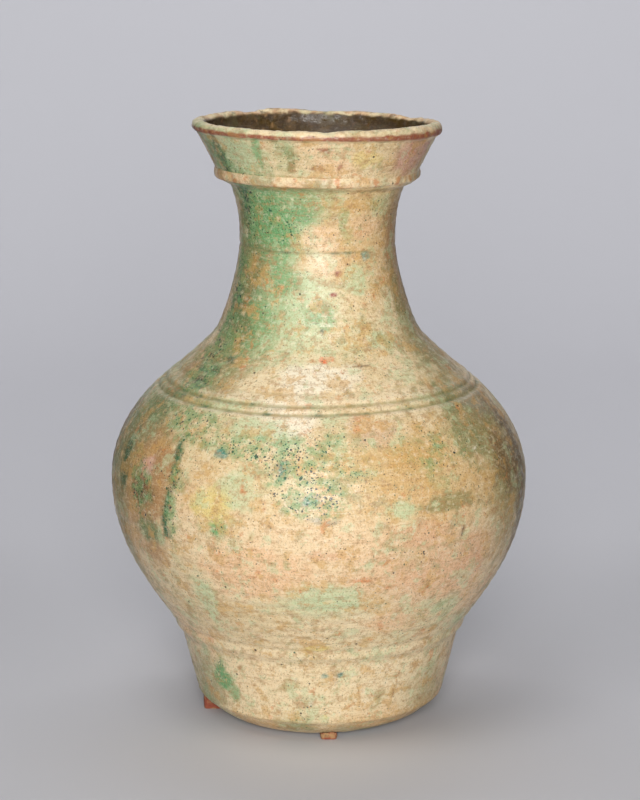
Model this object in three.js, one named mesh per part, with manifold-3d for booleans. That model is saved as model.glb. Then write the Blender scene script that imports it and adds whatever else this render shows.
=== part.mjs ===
// A wheel-thrown earthenware storage jar with a cupped mouth, a waisted neck, a full belly and a tapering foot.
// It is put together as a potter does it: a base slab and thrown rings, luted one on the other at level joints,
// with a rolled lip, an applied clay fillet round the mouth and the three kiln spurs that stuck to the foot.
// Units are millimetres, +Z is up, and the origin lies on the surface that the jar stands on, under its middle.
import * as THREE from "three";
import { mergeVertices } from "three/addons/utils/BufferGeometryUtils.js";
import Module from "manifold-3d";

// Heights of the thrown sections, from the ground up
const SPUR_HEIGHT = 3;
const BASE_THICKNESS = 11;
const FOOT_HEIGHT = 37;
const LOWER_BODY_HEIGHT = 93;
const SHOULDER_HEIGHT = 68;
const SHOULDER_FALL_HEIGHT = 26;
const NECK_LOWER_HEIGHT = 48;
const NECK_UPPER_HEIGHT = 30;
const MOUTH_LEDGE_HEIGHT = 4;
const MOUTH_WALL_HEIGHT = 26;
const LIP_HEIGHT = 7;

// Outer radii where one curve passes into the next
const BASE_RADIUS = 58;
const BASE_EDGE_RADIUS = 72.6;
const FOOT_TOP_RADIUS = 81.8;
const BELLY_RADIUS = 121.7;
const SHOULDER_RADIUS = 79.3;
const NECK_BASE_RADIUS = 56;
const NECK_WAIST_RADIUS = 44.9;
const NECK_TOP_RADIUS = 50;
const MOUTH_BASE_RADIUS = 56.4;
const MOUTH_TOP_RADIUS = 69.1;

// Thickness of the clay, and how far the lip stands out past the wall that carries it
const WALL = 7;
const MOUTH_WALL = 4.6;
const LIP_OVERHANG = 2.9;

// Slopes where curves meet, as millimetres outwards for each millimetre upwards
const BASE_SPREAD = 2.5;
const BASE_EDGE_FLARE = 0.6;
const FOOT_TOP_FLARE = 0.4;
const SHOULDER_SLOPE = -1.15;
const NECK_BASE_SLOPE = -0.42;
const NECK_TOP_FLARE = 0.4;
const MOUTH_BASE_FLARE = 0.4;
const MOUTH_TOP_FLARE = 0.55;

// How long each curve keeps the slope it leaves with and the one it arrives with, as shares of its rise
const BASE_EDGE_HOLD = [0.18, 0.1];
const LOWER_BODY_HOLD = [0.2, 0.5];
const SHOULDER_HOLD = [0.56, 0.12];
const SHOULDER_FALL_HOLD = [0.64, 0.3];
const NECK_LOWER_HOLD = [0.12, 0.38];
const NECK_UPPER_HOLD = [0.44, 0.28];
const MOUTH_WALL_HOLD = [0.4, 0.4];
const MOUTH_INSIDE_HOLD = [0.25, 0.35];

// Knee on the underside of the mouth's ledge: in from the mouth's base radius, and up from the joint
const LEDGE_KNEE_IN = 2;
const LEDGE_KNEE_RISE = 1.6;

// Where the lip's roll comes back to the wall under it, in degrees below its outermost point
const LIP_TUCK = 34;

// Turned lines: height of the middle above the joint below it, width, and how far the clay stands out or in
const FOOT_CORDON = { above: 5.5, width: 6, out: 1 };
const SHOULDER_LINE_LOW = { above: 56.4, width: 2.4, out: -1 };
const SHOULDER_LINE_HIGH = { above: 59.9, width: 2.4, out: -0.9 };
const NECK_LINE = { above: 44, width: 2, out: -0.8 };
const LINE_FLOOR_SHARE = 0.4;
const LINE_CLEAR_SHARE = 0.8;

// Applied clay fillet round the foot of the mouth, pressed on over a film of slip
const COLLAR_ABOVE_LEDGE = 3.3;
const COLLAR_HALF_WIDTH = 2.9;
const COLLAR_RISE = 1.9;
const SLIP_FILM = 0.3;

// Kiln spurs: bearing, width along the foot's edge, reach inwards and outwards of the base radius, rise up its side
const SPURS = [
  { name: "kiln_spur_front", bearing: -85, width: 9.5, inward: 6, outward: 3.5, rise: 1.6 },
  { name: "kiln_spur_left", bearing: 182, width: 10, inward: 6, outward: 12, rise: 6.5 },
  { name: "kiln_spur_right", bearing: 48, width: 9, inward: 6, outward: 5, rise: 2.4 },
];
const SPUR_CORNER = 2.2;

// Facets: sides of a turn, and the spacing of the rings up the base's edge, the outside and the inside
const TURNS = 48;
const EDGE_PITCH = 2.8;
const OUTSIDE_PITCH = 10.5;
const INSIDE_PITCH = 17;
const MOUTH_FACETS = 5;
const LIP_FACETS = 4;
const COLLAR_FACETS = 6;
const SEARCH_STEPS = 40;
const WELD = 1e-4;

const GLAZE_COLOUR = 0xc8ba8e;
const RIM_GLAZE_COLOUR = 0xb39a72;
const CLAY_COLOUR = 0xc2805f;

// Levels of the joints
const underside = SPUR_HEIGHT;
const footJoint = underside + BASE_THICKNESS;
const waistJoint = footJoint + FOOT_HEIGHT;
const bellyJoint = waistJoint + LOWER_BODY_HEIGHT;
const shoulderTurn = bellyJoint + SHOULDER_HEIGHT;
const neckJoint = shoulderTurn + SHOULDER_FALL_HEIGHT;
const neckWaist = neckJoint + NECK_LOWER_HEIGHT;
const mouthJoint = neckWaist + NECK_UPPER_HEIGHT;
const ledge = mouthJoint + MOUTH_LEDGE_HEIGHT;
const lipJoint = ledge + MOUTH_WALL_HEIGHT;

const point = (r, z) => new THREE.Vector2(r, z);

// A smooth climb between two points of the outline, which leaves and arrives at the given slopes.
function climb(start, end, [slopeOut, slopeIn], [holdOut, holdIn]) {
  const rise = end.y - start.y;
  return new THREE.CubicBezierCurve(
    start,
    point(start.x + slopeOut * holdOut * rise, start.y + holdOut * rise),
    point(end.x - slopeIn * holdIn * rise, end.y - holdIn * rise),
    end,
  );
}

const baseCorner = point(BASE_RADIUS, underside);
const baseEdgeTop = point(BASE_EDGE_RADIUS, footJoint);
const waist = point(FOOT_TOP_RADIUS, waistJoint);
const belly = point(BELLY_RADIUS, bellyJoint);
const shoulder = point(SHOULDER_RADIUS, shoulderTurn);
const neckBase = point(NECK_BASE_RADIUS, neckJoint);
const neckMiddle = point(NECK_WAIST_RADIUS, neckWaist);
const neckTop = point(NECK_TOP_RADIUS, mouthJoint);
const mouthBase = point(MOUTH_BASE_RADIUS, ledge);
const mouthTop = point(MOUTH_TOP_RADIUS, lipJoint);
const mouthInside = point(MOUTH_TOP_RADIUS - MOUTH_WALL, lipJoint);

// The outer outline from joint to joint. Each curve climbs all the way, so a height finds one radius.
const baseEdge = climb(baseCorner, baseEdgeTop, [BASE_SPREAD, BASE_EDGE_FLARE], BASE_EDGE_HOLD);
const mouthWall = climb(mouthBase, mouthTop, [MOUTH_BASE_FLARE, MOUTH_TOP_FLARE], MOUTH_WALL_HOLD);
const outline = [
  baseEdge,
  new THREE.LineCurve(baseEdgeTop, waist),
  climb(waist, belly, [FOOT_TOP_FLARE, 0], LOWER_BODY_HOLD),
  climb(belly, shoulder, [0, SHOULDER_SLOPE], SHOULDER_HOLD),
  climb(shoulder, neckBase, [SHOULDER_SLOPE, NECK_BASE_SLOPE], SHOULDER_FALL_HOLD),
  climb(neckBase, neckMiddle, [NECK_BASE_SLOPE, 0], NECK_LOWER_HOLD),
  climb(neckMiddle, neckTop, [0, NECK_TOP_FLARE], NECK_UPPER_HOLD),
];

function radiusOn(curve, z) {
  let low = 0;
  let high = 1;
  for (let i = 0; i < SEARCH_STEPS; i++) {
    const middle = (low + high) / 2;
    if (curve.getPoint(middle).y < z) low = middle;
    else high = middle;
  }
  return curve.getPoint((low + high) / 2).x;
}

function outerRadius(z) {
  const curve = outline.find((each) => z <= each.getPoint(1).y) ?? outline.at(-1);
  return radiusOn(curve, z);
}

// A wall keeps its thickness square to the surface, so on a slope it is wider when measured level.
function innerRadius(z) {
  const step = 1;
  const slope = (outerRadius(z + step) - outerRadius(z - step)) / (2 * step);
  return outerRadius(z) - WALL * Math.hypot(1, slope);
}

function levels(from, to, pitch) {
  const steps = Math.max(1, Math.round((to - from) / pitch));
  return Array.from({ length: steps + 1 }, (_, i) => from + ((to - from) * i) / steps);
}

// Even levels up a section's outside, with the corners of each turned line set in among them.
function outerSide(from, to, pitch = OUTSIDE_PITCH, lines = []) {
  const marks = lines.map((line) => ({ ...line, z: from + line.above }));
  const crowded = (z) => marks.some((mark) => Math.abs(z - mark.z) < mark.width * LINE_CLEAR_SHARE);
  const ends = (z) => z === from || z === to;
  const side = levels(from, to, pitch)
    .filter((z) => ends(z) || !crowded(z))
    .map((z) => point(outerRadius(z), z));
  for (const mark of marks) {
    const edge = mark.width / 2;
    const floor = edge * LINE_FLOOR_SHARE;
    side.push(point(outerRadius(mark.z - edge), mark.z - edge));
    side.push(point(outerRadius(mark.z - floor) + mark.out, mark.z - floor));
    side.push(point(outerRadius(mark.z + floor) + mark.out, mark.z + floor));
    side.push(point(outerRadius(mark.z + edge), mark.z + edge));
  }
  return side.sort((a, b) => a.y - b.y);
}

function innerSide(from, to) {
  return levels(from, to, INSIDE_PITCH).map((z) => point(innerRadius(z), z));
}

// LatheGeometry turns about Y, so its result is stood up along Z.
function turn(profile) {
  return new THREE.LatheGeometry(profile, TURNS).rotateX(Math.PI / 2);
}

// A ring's section runs up the outside and back down the inside, so that its faces point outwards.
function ring(outer, inner) {
  return turn([...outer, ...inner.reverse(), outer[0]]);
}

function baseSlab() {
  return turn([
    point(0, underside),
    ...outerSide(underside, footJoint, EDGE_PITCH),
    point(innerRadius(footJoint), footJoint),
    point(0, footJoint),
  ]);
}

function footWall() {
  return ring(outerSide(footJoint, waistJoint), innerSide(footJoint, waistJoint));
}

function lowerBody() {
  return ring(
    outerSide(waistJoint, bellyJoint, OUTSIDE_PITCH, [FOOT_CORDON]),
    innerSide(waistJoint, bellyJoint),
  );
}

function upperBody() {
  return ring(
    outerSide(bellyJoint, neckJoint, OUTSIDE_PITCH, [SHOULDER_LINE_LOW, SHOULDER_LINE_HIGH]),
    innerSide(bellyJoint, neckJoint),
  );
}

function neck() {
  return ring(outerSide(neckJoint, mouthJoint, OUTSIDE_PITCH, [NECK_LINE]), innerSide(neckJoint, mouthJoint));
}

// The flat on the mouth's wall that the collar is pressed to. The cup has it as a facet, and the collar lies along it.
const seatLow = wallPoint(ledge + COLLAR_ABOVE_LEDGE - COLLAR_HALF_WIDTH);
const seatHigh = wallPoint(ledge + COLLAR_ABOVE_LEDGE + COLLAR_HALF_WIDTH);

function wallPoint(z) {
  return point(radiusOn(mouthWall, z), z);
}

// The cup's outside turns out in a short ledge below its wall; its inside flares from the throat to the lip.
function mouthCup() {
  const throat = point(innerRadius(mouthJoint), mouthJoint);
  const outer = [
    neckTop,
    point(MOUTH_BASE_RADIUS - LEDGE_KNEE_IN, mouthJoint + LEDGE_KNEE_RISE),
    mouthBase,
    seatLow,
    seatHigh,
    ...mouthWall.getPoints(MOUTH_FACETS).filter((p) => p.y > seatHigh.y),
  ];
  const inner = climb(throat, mouthInside, [NECK_TOP_FLARE, MOUTH_TOP_FLARE], MOUTH_INSIDE_HOLD);
  return ring(outer, inner.getPoints(MOUTH_FACETS));
}

// A roll of clay on the wall's top edge: it stands out past the wall, and its crown is round.
function lipRoll() {
  const across = MOUTH_WALL + LIP_OVERHANG;
  const middle = point(mouthInside.x + across / 2, lipJoint + LIP_HEIGHT / 2);
  const part = (from, to) =>
    new THREE.EllipseCurve(middle.x, middle.y, across / 2, LIP_HEIGHT / 2, from, to).getPoints(LIP_FACETS);
  const rising = part(-THREE.MathUtils.degToRad(LIP_TUCK), Math.PI / 2);
  const falling = part(Math.PI / 2, Math.PI);
  return ring([mouthTop, ...rising, ...falling.slice(1)], [mouthInside]);
}

// A D-shaped strip with its flat along the seat, a film of slip away from it.
function mouthCollar() {
  const along = seatHigh.clone().sub(seatLow).normalize();
  const out = point(along.y, -along.x);
  const middle = seatLow.clone().lerp(seatHigh, 0.5).addScaledVector(out, SLIP_FILM);
  const half = seatLow.distanceTo(seatHigh) / 2;
  const bow = new THREE.EllipseCurve(0, 0, half, COLLAR_RISE, 0, Math.PI).getPoints(COLLAR_FACETS);
  const section = bow.map((p) =>
    middle.clone().addScaledVector(along, -p.x).addScaledVector(out, p.y),
  );
  return ring(section, []);
}

const wasm = await Module();
wasm.setup();

function solidOf(geometry) {
  const bare = geometry.clone();
  bare.deleteAttribute("normal");
  bare.deleteAttribute("uv");
  const merged = mergeVertices(bare, WELD);
  return new wasm.Manifold(
    new wasm.Mesh({
      numProp: 3,
      vertProperties: merged.attributes.position.array,
      triVerts: new Uint32Array(merged.index.array),
    }),
  );
}

function geometryOf(solid) {
  const mesh = solid.getMesh();
  return new THREE.BufferGeometry()
    .setAttribute("position", new THREE.BufferAttribute(mesh.vertProperties, 3))
    .setIndex(new THREE.BufferAttribute(mesh.triVerts, 1));
}

// The foot, swollen by the slip film, presses its own seat into each spur.
function footPress() {
  const edge = outerSide(underside, footJoint, EDGE_PITCH)
    .map((p) => point(p.x + SLIP_FILM, p.y - SLIP_FILM));
  return turn([
    point(0, underside - SLIP_FILM),
    ...edge,
    point(FOOT_TOP_RADIUS + SLIP_FILM, waistJoint),
    point(0, waistJoint),
  ]);
}

function spurBlank({ width, inward, outward, rise }) {
  const half = width / 2;
  const corner = SPUR_CORNER;
  const plan = new THREE.Shape()
    .moveTo(corner - inward, -half)
    .lineTo(outward - corner, -half)
    .quadraticCurveTo(outward, -half, outward, corner - half)
    .lineTo(outward, half - corner)
    .quadraticCurveTo(outward, half, outward - corner, half)
    .lineTo(corner - inward, half)
    .quadraticCurveTo(-inward, half, -inward, half - corner)
    .lineTo(-inward, corner - half)
    .quadraticCurveTo(-inward, -half, corner - inward, -half);
  return new THREE.ExtrudeGeometry(plan, {
    depth: SPUR_HEIGHT + rise,
    bevelEnabled: false,
    curveSegments: 2,
  }).translate(BASE_RADIUS, 0, 0);
}

function kilnSpur(spur) {
  const blank = spurBlank(spur).rotateZ(THREE.MathUtils.degToRad(spur.bearing));
  return geometryOf(solidOf(blank).subtract(solidOf(footPress())));
}

const jar = new THREE.Group();

function add(name, geometry, colour, roughness) {
  const material = new THREE.MeshStandardMaterial({ color: colour, roughness, metalness: 0 });
  const mesh = new THREE.Mesh(geometry, material);
  mesh.name = name;
  jar.add(mesh);
}

const GLOSS = 0.4;
const MATT = 0.9;
add("base_slab", baseSlab(), GLAZE_COLOUR, GLOSS);
add("foot_wall", footWall(), GLAZE_COLOUR, GLOSS);
add("lower_body", lowerBody(), GLAZE_COLOUR, GLOSS);
add("upper_body", upperBody(), GLAZE_COLOUR, GLOSS);
add("neck", neck(), GLAZE_COLOUR, GLOSS);
add("mouth_cup", mouthCup(), GLAZE_COLOUR, GLOSS);
add("mouth_collar", mouthCollar(), RIM_GLAZE_COLOUR, GLOSS);
add("lip_roll", lipRoll(), RIM_GLAZE_COLOUR, GLOSS);
for (const spur of SPURS) add(spur.name, kilnSpur(spur), CLAY_COLOUR, MATT);

export default jar;
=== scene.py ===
"""An old lead-glazed earthenware jar: buff and green glaze, worn and mottled, over a wheel-thrown red body.

Lengths are metres, +Z is up, and -Y faces the camera.
"""

import math
from collections import namedtuple

import bpy
import numpy as np
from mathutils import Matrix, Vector, noise


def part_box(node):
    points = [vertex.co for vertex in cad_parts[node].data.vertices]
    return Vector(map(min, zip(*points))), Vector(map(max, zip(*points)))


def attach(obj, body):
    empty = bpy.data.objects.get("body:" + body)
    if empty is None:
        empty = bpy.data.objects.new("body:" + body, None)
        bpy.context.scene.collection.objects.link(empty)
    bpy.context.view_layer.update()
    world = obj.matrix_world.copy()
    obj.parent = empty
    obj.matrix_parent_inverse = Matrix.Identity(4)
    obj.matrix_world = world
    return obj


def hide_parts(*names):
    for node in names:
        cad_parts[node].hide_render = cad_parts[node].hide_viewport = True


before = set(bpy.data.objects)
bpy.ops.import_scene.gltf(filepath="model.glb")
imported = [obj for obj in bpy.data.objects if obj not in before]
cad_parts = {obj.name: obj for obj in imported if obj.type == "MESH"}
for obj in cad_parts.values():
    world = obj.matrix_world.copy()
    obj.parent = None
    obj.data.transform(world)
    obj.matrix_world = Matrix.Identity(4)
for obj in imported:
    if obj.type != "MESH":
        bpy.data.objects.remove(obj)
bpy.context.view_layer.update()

# Camera: focal length, place and downward tilt that give the photograph's view
PHOTO_WIDTH = 640
PHOTO_HEIGHT = 800
FOCAL_PIXELS = 2408
CAMERA_BACK = 1.387
CAMERA_HEIGHT = 0.4797
CAMERA_TILT = math.radians(11.86)
SENSOR = 36

# Levels and radii that the frame gives
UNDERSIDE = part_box("base_slab")[0].z
FOOT_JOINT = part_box("base_slab")[1].z
WAIST_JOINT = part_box("foot_wall")[1].z
BELLY_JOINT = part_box("lower_body")[1].z
NECK_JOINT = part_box("upper_body")[1].z
MOUTH_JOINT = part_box("neck")[1].z
LIP_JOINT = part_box("mouth_cup")[1].z
LIP_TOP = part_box("lip_roll")[1].z
BASE_EDGE_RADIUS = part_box("base_slab")[1].x
FOOT_TOP_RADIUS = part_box("foot_wall")[1].x
BELLY_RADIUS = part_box("lower_body")[1].x
NECK_BASE_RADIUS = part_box("neck")[1].x
MOUTH_TOP_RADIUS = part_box("mouth_cup")[1].x
LIP_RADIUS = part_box("lip_roll")[1].x
COLLAR_LOW, COLLAR_HIGH = (corner.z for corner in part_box("mouth_collar"))

# Points of the outline between the joints, the walls' thickness, and the angle where the lip's roll starts
BASE_RADIUS = 0.058
SHOULDER_LEVEL = BELLY_JOINT + 0.068
SHOULDER_RADIUS = 0.0793
NECK_WAIST_LEVEL = NECK_JOINT + 0.048
NECK_WAIST_RADIUS = 0.0449
NECK_TOP_RADIUS = 0.05
LEDGE_LEVEL = MOUTH_JOINT + 0.004
MOUTH_BASE_RADIUS = 0.0564
WALL = 0.007
MOUTH_WALL = 0.0046
MOUTH_INSIDE_RADIUS = MOUTH_TOP_RADIUS - MOUTH_WALL
LIP_START_ANGLE = -0.6

# Slope of the outline at each point: how far its radius grows for each metre climbed
BASE_START_SLOPE = 2.5
BASE_EDGE_SLOPE = 0.6
WAIST_SLOPE = 0.4
SHOULDER_SLOPE = -1.15
NECK_BASE_SLOPE = -0.42
NECK_TOP_SLOPE = 0.4
LEDGE_FOOT_SLOPE = 0.6
LEDGE_EDGE_SLOPE = 0.9
MOUTH_BASE_SLOPE = 0.4
MOUTH_TOP_SLOPE = 0.55

# How long each curve holds its first and its last slope, as shares of its rise
BASE_HOLD = (0.18, 0.1)
LOWER_HOLD = (0.2, 0.5)
BELLY_HOLD = (0.56, 0.12)
SHOULDER_HOLD = (0.64, 0.3)
NECK_FOOT_HOLD = (0.12, 0.38)
NECK_RISE_HOLD = (0.44, 0.28)
LEDGE_HOLD = (0.4, 0.4)
MOUTH_HOLD = (0.4, 0.4)
MOUTH_INSIDE_HOLD = (0.25, 0.35)

# Lean and tilt: how far the foot stands off the axis, how far the top leans from there, and the mouth's dip
FOOT_SHIFT = 0.0004
LEAN = -0.0022
MOUTH_TILT = -0.014
TILT_FROM = 0.75

# Turned lines, their raised edges and the cordon: levels, widths and depths
LOW_LINE = BELLY_JOINT + 0.0564
HIGH_LINE = BELLY_JOINT + 0.0599
FAINT_LINE = BELLY_JOINT + 0.0665
LINE_EDGES = (BELLY_JOINT + 0.0545, BELLY_JOINT + 0.0618)
NECK_LINE = NECK_JOINT + 0.044
CORDON = WAIST_JOINT + 0.0055
CORDON_HOLLOW = WAIST_JOINT + 0.0105
LINE_WIDTH = 0.0009
FINE_LINE_WIDTH = 0.0008
CORDON_WIDTH = 0.0026
HOLLOW_WIDTH = 0.0012
LINE_DEPTH = 0.0009
EDGE_RISE = 0.0002
CORDON_RISE = 0.0009
LINE_WANDER = 0.0006

# Relief of the thrown and fired surface
RING_PITCH = 0.0055
RING_WAVER = 0.0022
RING_HEIGHT = 0.00015
OVAL_WOBBLE = 0.0005
THREE_SIDED_WOBBLE = 0.0003
CRUST_HEIGHT = 0.00016
INSIDE_CRUST_HEIGHT = 0.0002
GRAIN_HEIGHT = 0.00005
LIP_WAVER = 0.0003
LIP_NICKS = 0.00035
POLE_FADE = 0.01
POLE_RADIUS = 1e-9

# Fillet of clay at the foot of the mouth
COLLAR_PROUD = 0.0017
COLLAR_SUNK = 0.0008
COLLAR_BACK_SHARE = 0.8
COLLAR_LUMPS = 0.0007
COLLAR_GRAIN = 0.0002
COLLAR_SPECKS = 0.15
COLLAR_WEAR = 0.85

# Nubs of kiln clay
SPUR_VOXEL = 0.0005
SPUR_SMOOTHING = 6
SPUR_LUMP_SIZE = 0.003
SPUR_LUMP_HEIGHT = 0.00035
SPUR_FLAT = 0.0008

# Mesh pitch
AROUND = 400
OUTSIDE_PITCH = 0.0012
INSIDE_PITCH = 0.004
NECK_INSIDE_PITCH = OUTSIDE_PITCH * 2
LIP_PITCH = 0.0006
CURVE_SAMPLES = 200
COLLAR_FRONT_STEPS = 17
COLLAR_BACK_STEPS = 5
SWEEP_STEPS = 25

# Noise fields: size of the lumps, octaves and seed
CLOUDS = {
    "slow": (0.06, 2, 1),
    "crust": (0.009, 3, 2),
    "grain": (0.0026, 2, 3),
    "lip_waver": (0.014, 3, 4),
    "lip_nicks": (0.004, 3, 5),
    "broad": (0.045, 3, 11),
    "other": (0.03, 3, 12),
    "edge": (0.007, 4, 13),
    "fine": (0.0035, 2, 14),
    "collar_lump": (0.011, 3, 21),
    "collar_grain": (0.003, 2, 22),
    "collar_edge": (0.007, 3, 23),
    "collar_ochre": (0.012, 3, 24),
    "collar_orange": (0.005, 3, 25),
    "collar_moss": (0.02, 3, 26),
    "drift_across": (0.016, 4, 31),
    "drift_along": (0.013, 4, 32),
}
SEED_SHIFT = (7.31, 3.17, 5.93)
SMOOTHNESS = 1.0
LACUNARITY = 2.1
DRIFT_ACROSS = 0.0026
DRIFT_ALONG = 0.0022

# Studio: a sweep, two boards that shade the flanks, the world and the lamps
# The sweep's colour is painted light and shade: paler near the camera, darker towards the back
SWEEP_NEAR_PAINTED_LIGHT = (0.6, 0.6, 0.63)
SWEEP_FAR_PAINTED_SHADE = (0.515, 0.515, 0.55)
SWEEP_PAINTED_LIGHT_FADE = (-0.5, 1.2)
SWEEP_BACK = 1.0
SWEEP_BEND = 1.2
SWEEP_SIZE = 5
FLAG_AWAY = 0.42
FLAG_DEPTH = (-0.45, 0.45)
FLAG_HEIGHT = 0.9
FLAG_COLOUR = (0.01, 0.01, 0.01)
WORLD_COLOUR = (1.0, 1.0, 1.0)
WORLD_LEVEL = 0.13
JAR_MIDDLE = (0, 0, 0.18)
# Lamps: name, place, what each one faces, size and power
LAMPS = [
    ("top_softbox", (-0.35, -0.7, 1.6), JAR_MIDDLE, (0.7, 0.7), 6),
    ("front_softbox", (0.0, -2.3, 0.75), JAR_MIDDLE, (0.8, 1.0), 52),
    ("backdrop_softbox", (0, 1.0, 2.2), (0, 2.2, 0.3), (3.0, 0.8), 34),
]

# Colours as they look in daylight, red, green and blue from 0 to 255
PALETTE = {
    "cream": (230, 208, 166),
    "white": (240, 228, 202),
    "buff": (210, 184, 134),
    "straw": (222, 200, 122),
    "peach": (230, 190, 146),
    "salmon": (216, 166, 126),
    "pink": (208, 160, 136),
    "ochre": (204, 160, 94),
    "orange": (204, 122, 62),
    "tan": (176, 136, 92),
    "rust": (146, 74, 52),
    "vermilion": (226, 112, 62),
    "brown": (106, 72, 42),
    "umber": (74, 58, 42),
    "olive": (138, 130, 80),
    "moss": (112, 126, 82),
    "pale_green": (188, 202, 156),
    "green": (106, 158, 102),
    "deep_green": (40, 92, 62),
    "teal": (84, 136, 122),
    "ink": (26, 46, 48),
    "grey": (150, 144, 124),
    "amber": (112, 84, 34),
}

Path = namedtuple("Path", "points spans")
# A patch's place is a pixel of the photograph, or the row and column of a grid cell
Patch = namedtuple("Patch", "colour pixel wide tall amount cell", defaults=(None,))

# Noise in the glaze: size of its spots, detail, roughness and squeeze
GLAZE_NOISE = {
    "cloudy": (0.014, 6, 0.68),
    "blotch": (0.006, 6, 0.66),
    "stain": (0.009, 6, 0.7),
    "fleck": (0.0024, 4, 0.6),
    "grain": (0.0009, 2),
    "streak": (0.010, 4, 0.6, (1, 1, 7)),
}
# Layers of colour below and above the green film: noise, start, full, strength and colour
LAYERS_BELOW = [
    ("cloudy", 0.54, 0.6, 0.6, "ochre"),
    ("cloudy", 0.45, 0.39, 0.5, "pale_green"),
    ("blotch", 0.56, 0.62, 0.5, "tan"),
    ("stain", 0.6, 0.66, 0.5, "orange"),
    ("blotch", 0.44, 0.36, 0.35, "cream"),
    ("streak", 0.55, 0.64, 0.35, "tan"),
    ("streak", 0.44, 0.36, 0.25, "cream"),
]
LAYERS_ABOVE = [
    ("fleck", 0.55, 0.63, 0.42, "tan"),
    ("fleck", 0.44, 0.36, 0.25, "white"),
    ("grain", 0.54, 0.7, 0.42, "brown"),
    ("grain", 0.44, 0.3, 0.2, "white"),
]
# Specks and pits: spacing, and the share of them that is left out
SPECK_SIZES = [(0.0034, 0.62), (0.0019, 0.4), (0.0011, 0.25)]
PIT_SPACING = 0.0052
PITS_LEFT_OUT = 0.7

# Patches on the hidden side: bearings as shares of a turn from the front, colours, sizes and strengths
HIDDEN_FROM = 0.3
HIDDEN_TO = 0.7
HIDDEN_COLOURS = [
    "peach", "pale_green", "green", "ochre", "olive", "salmon", "cream", "tan", "moss", "straw",
]
HIDDEN_WIDE = (0.004, 0.026)
HIDDEN_TALL = (0.004, 0.016)
HIDDEN_AMOUNT = (0.4, 0.9)
# Count, seed and scale of the hidden tints and of the hidden patches over them
HIDDEN_TINTS = (26, 6, 2.4)
HIDDEN_SPOTS = (90, 5, 1)


def linear(name):
    """A palette colour in the linear numbers that Blender's shaders use."""
    srgb = np.array(PALETTE[name]) / 255
    return np.where(srgb <= 0.04045, srgb / 12.92, ((srgb + 0.055) / 1.055) ** 2.4)


def climb(start, end, slopes, holds):
    """A smooth curve between two (radius, height) points, leaving and arriving at the given slopes."""
    (r0, z0), (r1, z1) = start, end
    rise = z1 - z0
    corners = np.array([
        (r0, z0),
        (r0 + slopes[0] * holds[0] * rise, z0 + holds[0] * rise),
        (r1 - slopes[1] * holds[1] * rise, z1 - holds[1] * rise),
        (r1, z1),
    ])
    t = np.linspace(0, 1, CURVE_SAMPLES)[:, None]
    return (
        (1 - t) ** 3 * corners[0]
        + 3 * t * (1 - t) ** 2 * corners[1]
        + 3 * t**2 * (1 - t) * corners[2]
        + t**3 * corners[3]
    )


def arc(centre, radii, start, end):
    """Part of an ellipse, from one angle to the other."""
    angle = np.linspace(start, end, CURVE_SAMPLES)
    return np.stack([centre[0] + radii[0] * np.cos(angle), centre[1] + radii[1] * np.sin(angle)], 1)


def evenly(curve, pitch):
    """The same curve with points about one pitch apart."""
    curve = np.asarray(curve, float)
    run = np.concatenate([[0], np.cumsum(np.linalg.norm(np.diff(curve, axis=0), axis=1))])
    count = max(1, round(run[-1] / pitch))
    at = np.linspace(0, run[-1], count + 1)
    return np.stack([np.interp(at, run, curve[:, 0]), np.interp(at, run, curve[:, 1])], 1)


def inside_of(outer, pitch):
    """The wall's inner face, from the top down, for a stretch of its outer face."""
    slope = np.gradient(outer[:, 0], outer[:, 1])
    inner = np.stack([outer[:, 0] - WALL * np.hypot(1, slope), outer[:, 1]], 1)
    return evenly(inner[::-1], pitch)


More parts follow.
